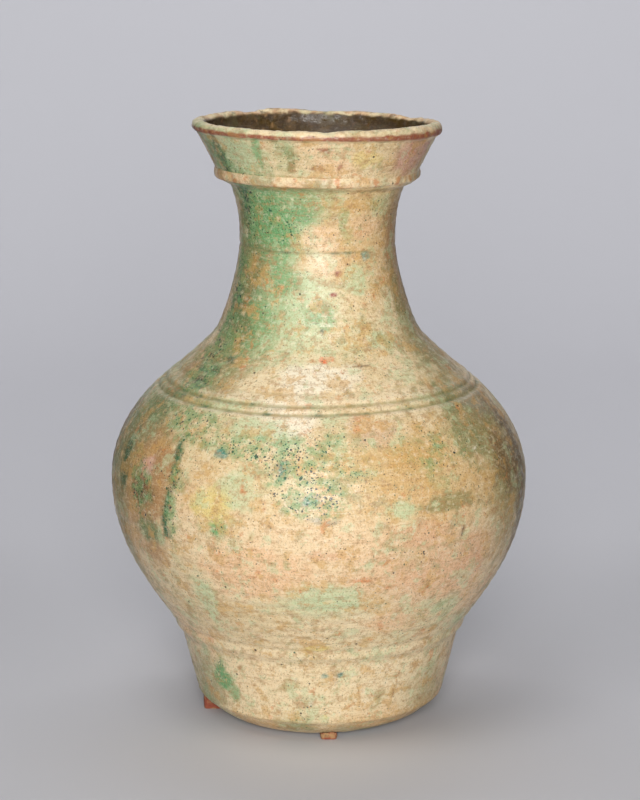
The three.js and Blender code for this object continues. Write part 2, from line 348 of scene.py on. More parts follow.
def outer_curves():
    """The stretches of the outside, from the middle of the underside to the lip's inner edge."""
    base_edge = (BASE_EDGE_RADIUS, FOOT_JOINT)
    foot_top = (FOOT_TOP_RADIUS, WAIST_JOINT)
    belly = (BELLY_RADIUS, BELLY_JOINT)
    shoulder = (SHOULDER_RADIUS, SHOULDER_LEVEL)
    neck_base = (NECK_BASE_RADIUS, NECK_JOINT)
    neck_waist = (NECK_WAIST_RADIUS, NECK_WAIST_LEVEL)
    neck_top = (NECK_TOP_RADIUS, MOUTH_JOINT)
    ledge = (MOUTH_BASE_RADIUS, LEDGE_LEVEL)
    mouth_top = (MOUTH_TOP_RADIUS, LIP_JOINT)
    base = climb((BASE_RADIUS, UNDERSIDE), base_edge, (BASE_START_SLOPE, BASE_EDGE_SLOPE), BASE_HOLD)
    above_belly = climb(belly, shoulder, (0, SHOULDER_SLOPE), BELLY_HOLD)
    to_neck = climb(shoulder, neck_base, (SHOULDER_SLOPE, NECK_BASE_SLOPE), SHOULDER_HOLD)
    neck_low = climb(neck_base, neck_waist, (NECK_BASE_SLOPE, 0), NECK_FOOT_HOLD)
    neck_high = climb(neck_waist, neck_top, (0, NECK_TOP_SLOPE), NECK_RISE_HOLD)
    ledge_rise = climb(neck_top, ledge, (LEDGE_FOOT_SLOPE, LEDGE_EDGE_SLOPE), LEDGE_HOLD)
    mouth_rise = climb(ledge, mouth_top, (MOUTH_BASE_SLOPE, MOUTH_TOP_SLOPE), MOUTH_HOLD)
    half_lip = (LIP_RADIUS - MOUTH_INSIDE_RADIUS) / 2
    half_rise = (LIP_TOP - LIP_JOINT) / 2
    lip_middle = (MOUTH_INSIDE_RADIUS + half_lip, LIP_JOINT + half_rise)
    crown = arc(lip_middle, (half_lip, half_rise), LIP_START_ANGLE, math.pi)
    curves = {
        "under": np.vstack([[(0, UNDERSIDE)], base]),
        "foot": np.array([base_edge, foot_top]),
        "lower": climb(foot_top, belly, (WAIST_SLOPE, 0), LOWER_HOLD),
        "upper": np.vstack([above_belly, to_neck[1:]]),
        "neck": np.vstack([neck_low, neck_high[1:]]),
        "mouth": np.vstack([ledge_rise, mouth_rise[1:]]),
        "lip": np.vstack([[mouth_top], crown, [(MOUTH_INSIDE_RADIUS, LIP_JOINT)]]),
    }
    pitches = dict.fromkeys(curves, OUTSIDE_PITCH)
    pitches["lip"] = LIP_PITCH
    return {name: evenly(curve, pitches[name]) for name, curve in curves.items()}


def inner_curves(outside):
    """The stretches of the inside, from the lip's inner edge down to the middle of the floor."""
    neck = inside_of(outside["neck"], NECK_INSIDE_PITCH)
    lip_edge = (MOUTH_INSIDE_RADIUS, LIP_JOINT)
    bowl = climb(tuple(neck[0]), lip_edge, (NECK_TOP_SLOPE, MOUTH_TOP_SLOPE), MOUTH_INSIDE_HOLD)
    inside = {"mouth_in": evenly(bowl[::-1], OUTSIDE_PITCH), "neck_in": neck}
    for name in ("upper", "lower", "foot"):
        inside[name + "_in"] = inside_of(outside[name], INSIDE_PITCH)
    floor_edge = inside["foot_in"][-1]
    inside["floor"] = evenly([floor_edge, (0, FOOT_JOINT)], INSIDE_PITCH)
    return inside


def jar_path():
    """The whole section: out from the middle of the underside, up, over the lip and down the inside."""
    outside = outer_curves()
    curves = {**outside, **inner_curves(outside)}
    points = [outside["under"][:1]]
    spans = {}
    last = 0
    for name, curve in curves.items():
        points.append(curve[1:])
        spans[name] = (last, last + len(curve) - 1)
        last += len(curve) - 1
    return Path(np.vstack(points), spans)


def photo_pixels(points):
    """Where points in the row frame fall in the photograph."""
    away = points[..., 1] + CAMERA_BACK
    above = points[..., 2] - CAMERA_HEIGHT
    depth = away * math.cos(CAMERA_TILT) - above * math.sin(CAMERA_TILT)
    rise = above * math.cos(CAMERA_TILT) + away * math.sin(CAMERA_TILT)
    across = PHOTO_WIDTH / 2 + FOCAL_PIXELS * points[..., 0] / depth
    down = PHOTO_HEIGHT / 2 - FOCAL_PIXELS * rise / depth
    return np.stack([across, down], -1)


def cloud(points, name):
    """Smooth noise from about -1 to 1, with the lumps, octaves and seed of a named field."""
    size, octaves, seed = CLOUDS[name]
    shift = Vector([seed * step for step in SEED_SHIFT])
    flat = points.reshape(-1, 3) / size
    values = [noise.fractal(Vector(p) + shift, SMOOTHNESS, LACUNARITY, octaves) for p in flat]
    return np.array(values).reshape(points.shape[:-1])


def smoothstep(low, high, value):
    """0 up to low and 1 from high, with a smooth climb between them."""
    t = np.clip((value - low) / (high - low), 0, 1)
    return t * t * (3 - 2 * t)


def settle(points):
    """Leans the jar a little to the left, and dips its mouth a little to the right."""
    rise = (points[..., 2:3] - UNDERSIDE) / (LIP_TOP - UNDERSIDE)
    shift = FOOT_SHIFT + LEAN * rise
    tilt = MOUTH_TILT * points[..., 0:1] * smoothstep(TILT_FROM, 1, rise)
    return points + np.concatenate([shift, np.zeros_like(shift), tilt], -1)


class Skin:
    """The jar's surface as a grid: a row for each point of the section, a column for each bearing."""

    def __init__(self, path):
        self.path = path
        self.bearing = -math.pi / 2 + np.arange(AROUND) * 2 * math.pi / AROUND
        radius, height = path.points[:, 0], path.points[:, 1]
        self.run = np.concatenate([[0], np.cumsum(np.linalg.norm(np.diff(path.points, axis=0), axis=1))])
        self.radius = np.repeat(radius[:, None], AROUND, 1)
        self.height = np.repeat(height[:, None], AROUND, 1)
        self.turned = np.stack([
            self.radius * np.cos(self.bearing),
            self.radius * np.sin(self.bearing),
            self.height,
        ], -1)
        along = np.gradient(path.points, axis=0)
        along /= np.linalg.norm(along, axis=1)[:, None] + 1e-12
        self.normal = np.stack([
            along[:, 1, None] * np.cos(self.bearing),
            along[:, 1, None] * np.sin(self.bearing),
            np.repeat(-along[:, 0, None], AROUND, 1),
        ], -1)
        self.outside = np.zeros((len(radius), 1))
        self.outside[: path.spans["lip"][1]] = 1
        self.drift_across = DRIFT_ACROSS * cloud(self.turned, "drift_across")
        self.drift_along = DRIFT_ALONG * cloud(self.turned, "drift_along")
        self.pixels = photo_pixels(settle(self.turned))
        view = np.array([0, -CAMERA_BACK, CAMERA_HEIGHT]) - self.turned
        self.faces_camera = np.sum(view * self.normal, -1) > 0

    def rows(self, name):
        first, last = self.path.spans[name]
        return slice(first, last + 1)

    def place(self, relief):
        """Pushes the turned surface out by the relief, then leans and tilts it as the real jar does."""
        self.points = settle(self.turned + self.normal * relief[..., None])
        around = np.roll(self.points, -1, 1) - np.roll(self.points, 1, 1)
        up = np.gradient(self.points, axis=0)
        normal = np.cross(around, up)
        length = np.linalg.norm(normal, axis=-1, keepdims=True)
        self.shading = np.where(length > 1e-12, normal / np.maximum(length, 1e-12), self.normal)


def groove(level, middle, width):
    """1 in the middle of a turned line and 0 away from it."""
    return np.exp(-(((level - middle) / width) ** 2))


def turned_lines(skin, slow):
    """Marks the turned lines and their edges on the skin, and gives their relief and the cordon's."""
    z = skin.height
    drift = LINE_WANDER * np.sin(skin.bearing[None, :] + 0.4)
    low = groove(z, LOW_LINE + drift, LINE_WIDTH)
    high = groove(z, HIGH_LINE + drift * 0.4, FINE_LINE_WIDTH)
    faint = groove(z, FAINT_LINE + drift * 2, FINE_LINE_WIDTH) * 0.4
    neck = groove(z, NECK_LINE, FINE_LINE_WIDTH) * (0.7 + 0.5 * slow)
    cordon = groove(z, CORDON, CORDON_WIDTH) - 0.5 * groove(z, CORDON_HOLLOW, HOLLOW_WIDTH)
    edges = sum(groove(z, level, LINE_WIDTH) for level in LINE_EDGES)
    skin.lines = (low + high * 0.9 + faint + neck) * skin.outside
    skin.line_edges = edges * skin.outside
    return -LINE_DEPTH * skin.lines + EDGE_RISE * skin.line_edges + CORDON_RISE * cordon * skin.outside


def relief_of(skin):
    """How far the surface stands off the turned outline: throwing rings, grooves, crust and dents."""
    p = skin.turned
    z = skin.height
    bearing = skin.bearing[None, :]
    slow = cloud(p, "slow")
    crust = cloud(p, "crust")
    grain = cloud(p, "grain")
    wobble = OVAL_WOBBLE * np.sin(2 * bearing + 1.1 + 6 * z)
    wobble = wobble + THREE_SIDED_WOBBLE * np.sin(3 * bearing - 9 * z)
    climbed = z + RING_PITCH * bearing / (2 * math.pi) + RING_WAVER * slow
    rings = RING_HEIGHT * np.sin(2 * math.pi * climbed / RING_PITCH) * (0.6 + 0.8 * slow)
    outside = wobble + rings + CRUST_HEIGHT * crust + GRAIN_HEIGHT * grain + turned_lines(skin, slow)
    inside = wobble + rings * 2 + INSIDE_CRUST_HEIGHT * crust
    relief = np.where(skin.outside > 0, outside, inside)
    lip = skin.rows("lip")
    relief[lip] += LIP_WAVER * cloud(p[lip], "lip_waver") + LIP_NICKS * cloud(p[lip], "lip_nicks")
    for chip in CHIPS:
        relief -= chip.amount * spread(skin, chip)
    fade = np.clip(skin.radius / POLE_FADE, 0, 1)
    under = skin.rows("under")
    relief[under] = np.minimum(relief[under], 0.0) * fade[under]
    floor = slice(skin.path.spans["floor"][0] + 1, None)
    relief[floor] *= fade[floor]
    return relief


def anchor(skin, pixel):
    """Row and column of the skin's point that the photograph shows at a pixel."""
    gap = np.linalg.norm(skin.pixels - np.array(pixel), axis=-1)
    gap = np.where(skin.faces_camera & (skin.outside > 0), gap, np.inf)
    return np.unravel_index(np.argmin(gap), gap.shape)


def spread(skin, patch, sharpness=1.0):
    """1 at a patch's middle, falling to nothing past its edge."""
    row, column = patch.cell or anchor(skin, patch.pixel)
    turn = (skin.bearing - skin.bearing[column] + math.pi) % (2 * math.pi) - math.pi
    across = (turn[None, :] * skin.radius[row, column] + skin.drift_across) / patch.wide
    along = ((skin.run - skin.run[row])[:, None] + skin.drift_along) / patch.tall
    return np.exp(-sharpness * (across**2 + along**2))


# Chips and gouges: place in the photograph, width, height and depth
CHIPS = [Patch(*row) for row in [
    (None, (250, 109), 0.006, 0.004, 0.0018),
    (None, (322, 108), 0.010, 0.004, 0.0016),
    (None, (346, 112), 0.005, 0.004, 0.0016),
    (None, (410, 112), 0.008, 0.004, 0.0012),
    (None, (328, 132), 0.004, 0.003, 0.0012),
    (None, (465, 532), 0.0014, 0.0035, 0.0009),
    (None, (428, 582), 0.001, 0.0035, 0.0008),
    (None, (148, 466), 0.003, 0.004, 0.0004),
    (None, (140, 490), 0.004, 0.006, 0.0005),
]]

# Patches of colour: place in the photograph, half width and half height on the jar, and strength; the two
# broad white ones on the shoulder and the middle of the belly are pale glaze with a painted highlight
PATCHES = [Patch(*row) for row in [
    # mouth band
    ("pale_green", (240, 150), 0.016, 0.014, 0.5),
    ("deep_green", (218, 150), 0.005, 0.012, 0.6),
    ("deep_green", (226, 165), 0.004, 0.008, 0.5),
    ("green", (257, 152), 0.003, 0.010, 0.6),
    ("olive", (290, 158), 0.0032, 0.011, 0.7),
    ("pink", (409, 157), 0.009, 0.011, 0.85),
    ("pink", (424, 148), 0.006, 0.008, 0.8),
    ("rust", (325, 150), 0.0045, 0.0018, 0.6),
    ("rust", (318, 170), 0.0035, 0.0014, 0.5),
    ("rust", (338, 167), 0.0012, 0.003, 0.5),
    ("straw", (365, 160), 0.010, 0.006, 0.5),
    # neck
    ("green", (262, 207), 0.013, 0.010, 0.9),
    ("deep_green", (244, 198), 0.005, 0.008, 0.8),
    ("green", (276, 232), 0.013, 0.008, 0.8),
    ("green", (296, 216), 0.009, 0.006, 0.5),
    ("green", (345, 222), 0.003, 0.009, 0.4),
    ("peach", (320, 238), 0.012, 0.008, 0.6),
    ("ochre", (355, 205), 0.012, 0.004, 0.5),
    ("peach", (366, 225), 0.011, 0.008, 0.6),
    ("tan", (388, 232), 0.008, 0.018, 0.6),
    ("olive", (250, 270), 0.010, 0.014, 0.6),
    ("olive", (244, 228), 0.004, 0.02, 0.6),
    ("green", (282, 276), 0.009, 0.012, 0.5),
    ("peach", (318, 266), 0.014, 0.006, 0.5),
    ("pale_green", (356, 280), 0.009, 0.010, 0.6),
    ("rust", (332, 293), 0.002, 0.0016, 0.8),
    ("rust", (339, 273), 0.0018, 0.0018, 0.7),
    ("teal", (365, 257), 0.003, 0.0025, 0.6),
    ("green", (322, 318), 0.010, 0.008, 0.5),
    ("ink", (321, 331), 0.002, 0.0018, 0.5),
    ("olive", (395, 290), 0.006, 0.02, 0.6),
    # shoulder
    ("moss", (238, 330), 0.012, 0.014, 0.7),
    ("olive", (222, 350), 0.012, 0.014, 0.6),
    ("ink", (205, 370), 0.009, 0.0025, 0.6),
    ("ink", (196, 388), 0.006, 0.002, 0.6),
    ("tan", (190, 370), 0.008, 0.006, 0.6),
    ("moss", (165, 400), 0.012, 0.014, 0.6),
    # Pale glaze with a painted highlight across the shoulder
    ("white", (318, 378), 0.026, 0.010, 0.7),
    ("cream", (260, 385), 0.014, 0.010, 0.7),
    ("vermilion", (325, 360), 0.0045, 0.0016, 1.0),
    ("umber", (363, 366), 0.005, 0.0006, 0.6),
    ("olive", (424, 352), 0.010, 0.014, 0.5),
    ("moss", (450, 398), 0.014, 0.012, 0.5),
    ("grey", (470, 400), 0.012, 0.012, 0.5),
    ("pale_green", (235, 402), 0.014, 0.004, 0.6),
    # left of the belly
    ("tan", (150, 480), 0.020, 0.026, 0.9),
    ("brown", (140, 492), 0.010, 0.009, 0.6),
    ("pink", (148, 465), 0.006, 0.007, 0.8),
    ("deep_green", (176, 462), 0.0022, 0.007, 0.8),
    ("deep_green", (174, 478), 0.0022, 0.005, 0.7),
    ("deep_green", (167, 505), 0.0022, 0.009, 0.8),
    ("deep_green", (165, 526), 0.0035, 0.006, 0.8),
    ("moss", (148, 530), 0.012, 0.007, 0.7),
    ("deep_green", (127, 465), 0.004, 0.012, 0.7),
    ("tan", (158, 555), 0.010, 0.008, 0.6),
    ("moss", (122, 440), 0.010, 0.02, 0.6),
    # middle of the belly
    ("green", (215, 528), 0.005, 0.0055, 0.9),
    ("teal", (222, 452), 0.004, 0.003, 0.8),
    ("pale_green", (262, 430), 0.020, 0.008, 0.6),
    ("pale_green", (235, 490), 0.012, 0.012, 0.5),
    ("teal", (284, 470), 0.004, 0.006, 0.7),
    ("teal", (312, 500), 0.005, 0.004, 0.7),
    ("ochre", (330, 462), 0.018, 0.008, 0.5),
    ("orange", (243, 492), 0.0012, 0.003, 0.8),
    ("orange", (268, 506), 0.001, 0.003, 0.7),
    ("tan", (232, 534), 0.0014, 0.003, 0.8),
    ("grey", (322, 522), 0.008, 0.002, 0.5),
    # Pale glaze with a painted highlight on the belly
    ("white", (300, 425), 0.010, 0.008, 0.6),
    ("straw", (210, 505), 0.012, 0.010, 0.6),
    # right of the belly
    ("pink", (372, 432), 0.014, 0.009, 0.35),
    ("ochre", (415, 455), 0.018, 0.008, 0.5),
    ("moss", (470, 440), 0.012, 0.014, 0.5),
    ("brown", (505, 460), 0.014, 0.018, 0.5),
    ("olive", (450, 502), 0.018, 0.005, 0.6),
    ("orange", (463, 514), 0.003, 0.002, 0.6),
    ("pale_green", (436, 447), 0.0025, 0.0018, 0.9),
    ("white", (475, 450), 0.0016, 0.0012, 0.8),
    ("pale_green", (400, 512), 0.010, 0.006, 0.6),
    ("salmon", (420, 535), 0.016, 0.008, 0.5),
    ("umber", (465, 532), 0.0012, 0.003, 0.8),
    ("umber", (428, 582), 0.0008, 0.003, 0.7),
    ("salmon", (470, 560), 0.014, 0.016, 0.5),
    # lower body
    ("peach", (255, 575), 0.032, 0.018, 0.8),
    ("pale_green", (325, 600), 0.022, 0.010, 0.6),
    ("orange", (366, 580), 0.006, 0.0025, 0.6),
    ("salmon", (330, 556), 0.012, 0.003, 0.5),
    ("pale_green", (205, 600), 0.006, 0.018, 0.6),
    ("straw", (315, 650), 0.008, 0.003, 0.7),
    ("peach", (400, 620), 0.022, 0.010, 0.6),
    # foot
    ("green", (222, 678), 0.007, 0.008, 0.9),
    ("green", (232, 690), 0.006, 0.006, 0.6),
    ("tan", (240, 668), 0.003, 0.003, 0.7),
    ("teal", (324, 676), 0.0018, 0.002, 0.8),
    ("teal", (339, 674), 0.0016, 0.0014, 0.8),
    ("tan", (306, 704), 0.007, 0.004, 0.6),
    ("white", (313, 704), 0.0016, 0.002, 1.0),
    ("straw", (326, 716), 0.0012, 0.0014, 1.0),
    ("brown", (395, 694), 0.001, 0.003, 0.7),
]]

# Broad tints that lie under the patches, among them painted shade down the flanks' edges and a painted
# highlight on the belly
TINTS = [Patch(*row) for row in [
    ("pale_green", (230, 155), 0.020, 0.020, 0.8),
    ("green", (212, 150), 0.008, 0.018, 0.8),
    ("pink", (412, 155), 0.014, 0.014, 0.95),
    ("peach", (330, 158), 0.030, 0.012, 0.6),
    ("green", (262, 225), 0.026, 0.036, 0.95),
    ("green", (300, 205), 0.022, 0.016, 0.75),
    ("moss", (245, 300), 0.020, 0.040, 0.9),
    ("green", (285, 300), 0.016, 0.030, 0.6),
    ("olive", (205, 370), 0.034, 0.024, 0.85),
    ("moss", (140, 430), 0.030, 0.034, 0.9),
    ("pale_green", (300, 300), 0.022, 0.034, 0.7),
    ("ochre", (358, 235), 0.022, 0.034, 0.6),
    ("tan", (392, 250), 0.012, 0.046, 0.8),
    ("olive", (420, 340), 0.018, 0.030, 0.7),
    ("olive", (470, 405), 0.030, 0.026, 0.8),
    # Olive glaze with painted shade down the right flank's edge
    ("olive", (505, 470), 0.020, 0.050, 0.8),
    ("tan", (140, 500), 0.026, 0.034, 0.9),
    # Olive glaze with painted shade down the left flank's edge
    ("olive", (120, 500), 0.012, 0.050, 0.8),
    ("buff", (300, 470), 0.080, 0.034, 0.7),
    ("ochre", (430, 480), 0.050, 0.030, 0.6),
    ("peach", (300, 560), 0.080, 0.022, 0.7),
    ("salmon", (440, 570), 0.050, 0.024, 0.6),
    ("pale_green", (320, 608), 0.036, 0.009, 0.5),
    # Painted shade: a dark umber band down the left flank's edge
    ("umber", (118, 440), 0.012, 0.050, 0.8),
    ("brown", (146, 488), 0.011, 0.024, 0.9),
    ("deep_green", (176, 455), 0.0032, 0.012, 1.0),
    ("deep_green", (172, 482), 0.003, 0.010, 0.9),
    ("deep_green", (165, 512), 0.0034, 0.012, 1.0),
    ("deep_green", (152, 535), 0.010, 0.005, 0.9),
    ("deep_green", (128, 455), 0.004, 0.020, 0.9),
    ("ink", (228, 358), 0.006, 0.0032, 0.9),
    ("ink", (214, 368), 0.006, 0.0032, 0.9),
    ("ink", (200, 381), 0.006, 0.0032, 0.9),
    ("ink", (180, 392), 0.006, 0.0032, 0.8),
    ("deep_green", (244, 200), 0.005, 0.016, 0.9),
    ("deep_green", (240, 300), 0.010, 0.024, 0.6),
    ("green", (255, 330), 0.014, 0.020, 0.7),
    # Painted shade: dark umber bands down the right flank's edge and both edges of the neck
    ("umber", (521, 470), 0.012, 0.060, 0.8),
    ("umber", (403, 250), 0.006, 0.050, 0.6),
    ("umber", (237, 260), 0.005, 0.050, 0.5),
    # Pale glaze with a painted highlight on the belly
    ("white", (285, 410), 0.016, 0.020, 0.7),
    ("tan", (150, 470), 0.014, 0.024, 0.8),
    ("buff", (230, 620), 0.040, 0.018, 0.7),
    ("cream", (320, 690), 0.080, 0.024, 0.7),
    ("cream", (310, 640), 0.080, 0.016, 0.6),
    ("cream", (250, 560), 0.060, 0.020, 0.6),
    ("olive", (425, 700), 0.016, 0.024, 0.5),
    ("moss", (210, 680), 0.014, 0.020, 0.6),
]]

# Where the glaze is thick with dark specks
SPECKLED = [Patch(*row) for row in [
    ("ink", (262, 448), 0.026, 0.007, 1.2),
    ("ink", (285, 470), 0.010, 0.012, 1.0),
    ("ink", (345, 478), 0.020, 0.010, 0.5),
    ("ink", (302, 492), 0.012, 0.012, 1.0),
    ("ink", (140, 488), 0.010, 0.014, 1.0),
    ("ink", (250, 205), 0.006, 0.02, 1.0),
    ("ink", (275, 225), 0.014, 0.012, 0.6),
    ("ink", (240, 280), 0.008, 0.03, 0.9),
    ("ink", (222, 345), 0.014, 0.014, 0.9),
    ("ink", (200, 380), 0.014, 0.010, 0.9),
    ("ink", (180, 420), 0.014, 0.012, 0.7),
    ("ink", (210, 420), 0.014, 0.010, 0.6),
    ("ink", (172, 500), 0.006, 0.022, 0.9),
    ("ink", (222, 668), 0.006, 0.006, 0.9),
    ("ink", (350, 440), 0.024, 0.008, 0.4),
    ("ink", (440, 450), 0.024, 0.016, 0.5),
    ("ink", (325, 510), 0.010, 0.004, 0.7),
    ("ink", (225, 160), 0.006, 0.010, 0.7),
]]


def hidden_patches(skin, count, seed, scale):
    """Patches for the sides that the photograph doesn't show, in the same colours and sizes."""
    rng = np.random.default_rng(seed)
    made = []
    for _ in range(count):
        row = int(rng.integers(skin.path.spans["foot"][0], skin.path.spans["lip"][0]))
        column = int(rng.integers(HIDDEN_FROM * AROUND, HIDDEN_TO * AROUND))
        colour = HIDDEN_COLOURS[int(rng.integers(len(HIDDEN_COLOURS)))]
        wide = scale * rng.uniform(*HIDDEN_WIDE)
        tall = scale * rng.uniform(*HIDDEN_TALL)
        amount = rng.uniform(*HIDDEN_AMOUNT)
        made.append(Patch(colour, None, wide, tall, amount, (row, column)))
    return made


def mixed(colours, name, amount):
    """The colours, turned towards a palette colour by an amount from 0 to 1."""
    return colours + (linear(name) - colours) * amount[..., None]


def layered(colours, layers):
    """Mixes in colour after colour, each where its value climbs from low to high."""
    for name, value, low, high, most in layers:
        colours = mixed(colours, name, smoothstep(low, high, value) * most)
    return colours


def paint(skin):
    """The glaze's colour at each point, and how thick it is with specks."""
    p = skin.turned
    broad = cloud(p, "broad")
    other = cloud(p, "other")
    edge = cloud(p, "edge")
    fine = cloud(p, "fine")
    colours = layered(np.zeros(p.shape) + linear("cream"), [
        ("peach", broad + 0.4 * edge, -0.1, 0.7, 0.7),
        ("pale_green", other + 0.4 * edge, 0.0, 0.7, 0.7),
        ("buff", -broad + 0.5 * fine, 0.0, 0.8, 0.6),
        ("ochre", edge + 0.3 * fine, 0.35, 0.9, 0.5),
    ])
    for patch in TINTS + hidden_patches(skin, *HIDDEN_TINTS):
        body = spread(skin, patch, 0.8) + 0.22 * edge + 0.12 * fine
        colours = mixed(colours, patch.colour, smoothstep(0.05, 0.85, body) * patch.amount)
    for patch in PATCHES + hidden_patches(skin, *HIDDEN_SPOTS):
        body = spread(skin, patch, 0.9) + 0.28 * edge + 0.16 * fine - 0.1
        strength = min(1, patch.amount * 1.25)
        colours = mixed(colours, patch.colour, smoothstep(0.1, 0.55, body) * strength)
    specks = 0.3 + 0.3 * smoothstep(0.1, 0.8, other)
    for patch in SPECKLED:
        specks = specks + patch.amount * spread(skin, patch, 0.8) * (0.7 + 0.5 * edge)
    in_lines = smoothstep(0.25, 0.8, skin.lines + 0.25 * edge)
    colours = mixed(colours, "olive", in_lines * 0.75)
    deep_lines = smoothstep(0.5, 0.8, skin.lines) * smoothstep(0.1, 0.5, edge)
    colours = mixed(colours, "deep_green", deep_lines * 0.8)
    colours = mixed(colours, "white", skin.line_edges * 0.25)
    low_rim = smoothstep(0.02, 0.008, skin.height - UNDERSIDE)
    colours = mixed(colours, "ochre", low_rim * smoothstep(-0.4, 0.5, broad) * 0.6)
    colours = mixed(colours, "moss", low_rim * smoothstep(-0.2, 0.6, other) * 0.5)
    return rim_and_inside(skin, colours, edge, fine), np.clip(specks, 0, 1)


def rim_and_inside(skin, colours, edge, fine):
    """The lip is pale on top, with a bare red line along its outer edge; the inside is dark and crusted."""
    lip_low, lip_high = skin.path.spans["lip"]
    across = ((np.arange(len(skin.run)) - lip_low) / (lip_high - lip_low))[:, None]
    on_lip = ((across > 0) & (across < 1)) * 1.0
    line = groove(across, 0.2 + 0.02 * edge, 0.085) * on_lip
    top = groove(across, 0.52, 0.14) * on_lip
    far = smoothstep(-0.2, 0.6, np.sin(skin.bearing))[None, :]
    colours = mixed(colours, "cream", top * 0.6)
    colours = mixed(colours, "pale_green", top * smoothstep(0, 0.6, edge) * 0.6)
    colours = mixed(colours, "salmon", on_lip * far * smoothstep(-0.3, 0.2, edge) * 0.8)
    colours = mixed(colours, "umber", on_lip * far * smoothstep(0.1, 0.5, fine) * 0.7)
    colours = mixed(colours, "rust", smoothstep(0.2, 0.7, line + 0.3 * edge) * 0.95)
    depth = np.where(across > 0.5, smoothstep(0.7, 0.8, across + 0.06 * edge), 0)
    skin.wear = 1 - np.maximum(0.85 * depth, 0.6 * np.clip(skin.lines, 0, 1)) - 0.4 * on_lip * (1 - depth)
    skin.wear = np.clip(skin.wear, 0, 1)
    deep = np.zeros(colours.shape) + linear("amber") * 0.45
    deep = mixed(deep, "umber", smoothstep(-0.4, 0.3, edge + 0.3 * fine) * 0.9)
    left = smoothstep(0.2, -0.4, np.cos(skin.bearing))
    deep = mixed(deep, "tan", smoothstep(0.35, 0.8, fine) * left * 0.6)
    return colours + (deep - colours) * depth[..., None]


def mesh_of(name, points, normals, faces, colours, specks, wear, cap_from):
    """A Blender mesh with its own shading normals, so that neighbouring pieces meet without a line."""
    mesh = bpy.data.meshes.new(name)
    mesh.from_pydata(points.tolist(), [], faces)
    mesh.polygons.foreach_set("use_smooth", [True] * len(mesh.polygons))
    tone = mesh.attributes.new("glaze_tone", "FLOAT_COLOR", "POINT")
    tone.data.foreach_set("color", np.concatenate([colours, np.ones((len(colours), 1))], 1).ravel())
    density = mesh.attributes.new("speck_density", "FLOAT", "POINT")
    density.data.foreach_set("value", specks.ravel())
    worn = mesh.attributes.new("glaze_wear", "FLOAT", "POINT")
    worn.data.foreach_set("value", wear.ravel())
    corner_vertex = np.zeros(len(mesh.loops), int)
    mesh.loops.foreach_get("vertex_index", corner_vertex)
    corner_normals = normals[corner_vertex]
    start = np.zeros(len(mesh.polygons), int)
    total = np.zeros(len(mesh.polygons), int)
    mesh.polygons.foreach_get("loop_start", start)
    mesh.polygons.foreach_get("loop_total", total)
    for i in range(cap_from, len(mesh.polygons)):
        corner_normals[start[i] : start[i] + total[i]] = mesh.polygons[i].normal
    mesh.normals_split_custom_set(corner_normals.tolist())
    return mesh


def piece_of(skin, name, spans, material):
    """A closed piece of the jar from one or two stretches of the section, closed at its joints."""
    rows = [np.arange(skin.path.spans[span][0], skin.path.spans[span][1] + 1) for span in spans]
    order = np.concatenate(rows)
    joint = len(rows[0]) - 1 if len(rows) > 1 else None
    poles = {i for i, row in enumerate(order) if skin.path.points[row, 0] < POLE_RADIUS}
    index = []
    cells = []
    for i, row in enumerate(order):
        columns = [0] if i in poles else range(AROUND)
        index.append(len(cells) + (np.zeros(AROUND, int) if i in poles else np.arange(AROUND)))
        cells += [(row, column) for column in columns]
    at = tuple(np.array(cells).T)
    faces, caps = [], []
    steps = [(i, i + 1) for i in range(len(order) - 1)]
    if not poles:
        steps.append((len(order) - 1, 0))
    for a, b in steps:
        found = caps if a == joint or b == 0 else faces
        low, high = index[a], index[b]
        for quad in zip(low, np.roll(low, -1), np.roll(high, -1), high):
            found.append([int(v) for k, v in enumerate(quad) if v != quad[k - 1]])
    grids = (skin.colours, skin.specks, skin.wear)
    paints = [grid[at] for grid in grids]
    mesh = mesh_of(name, skin.points[at], skin.shading[at], faces + caps, *paints, len(faces))
    return finished(name, mesh, material)


def finished(name, mesh, material):
    """The mesh as an object in the scene, with its material."""
    piece = bpy.data.objects.new(name, mesh)
    bpy.context.scene.collection.objects.link(piece)
    mesh.materials.append(material)
    return piece


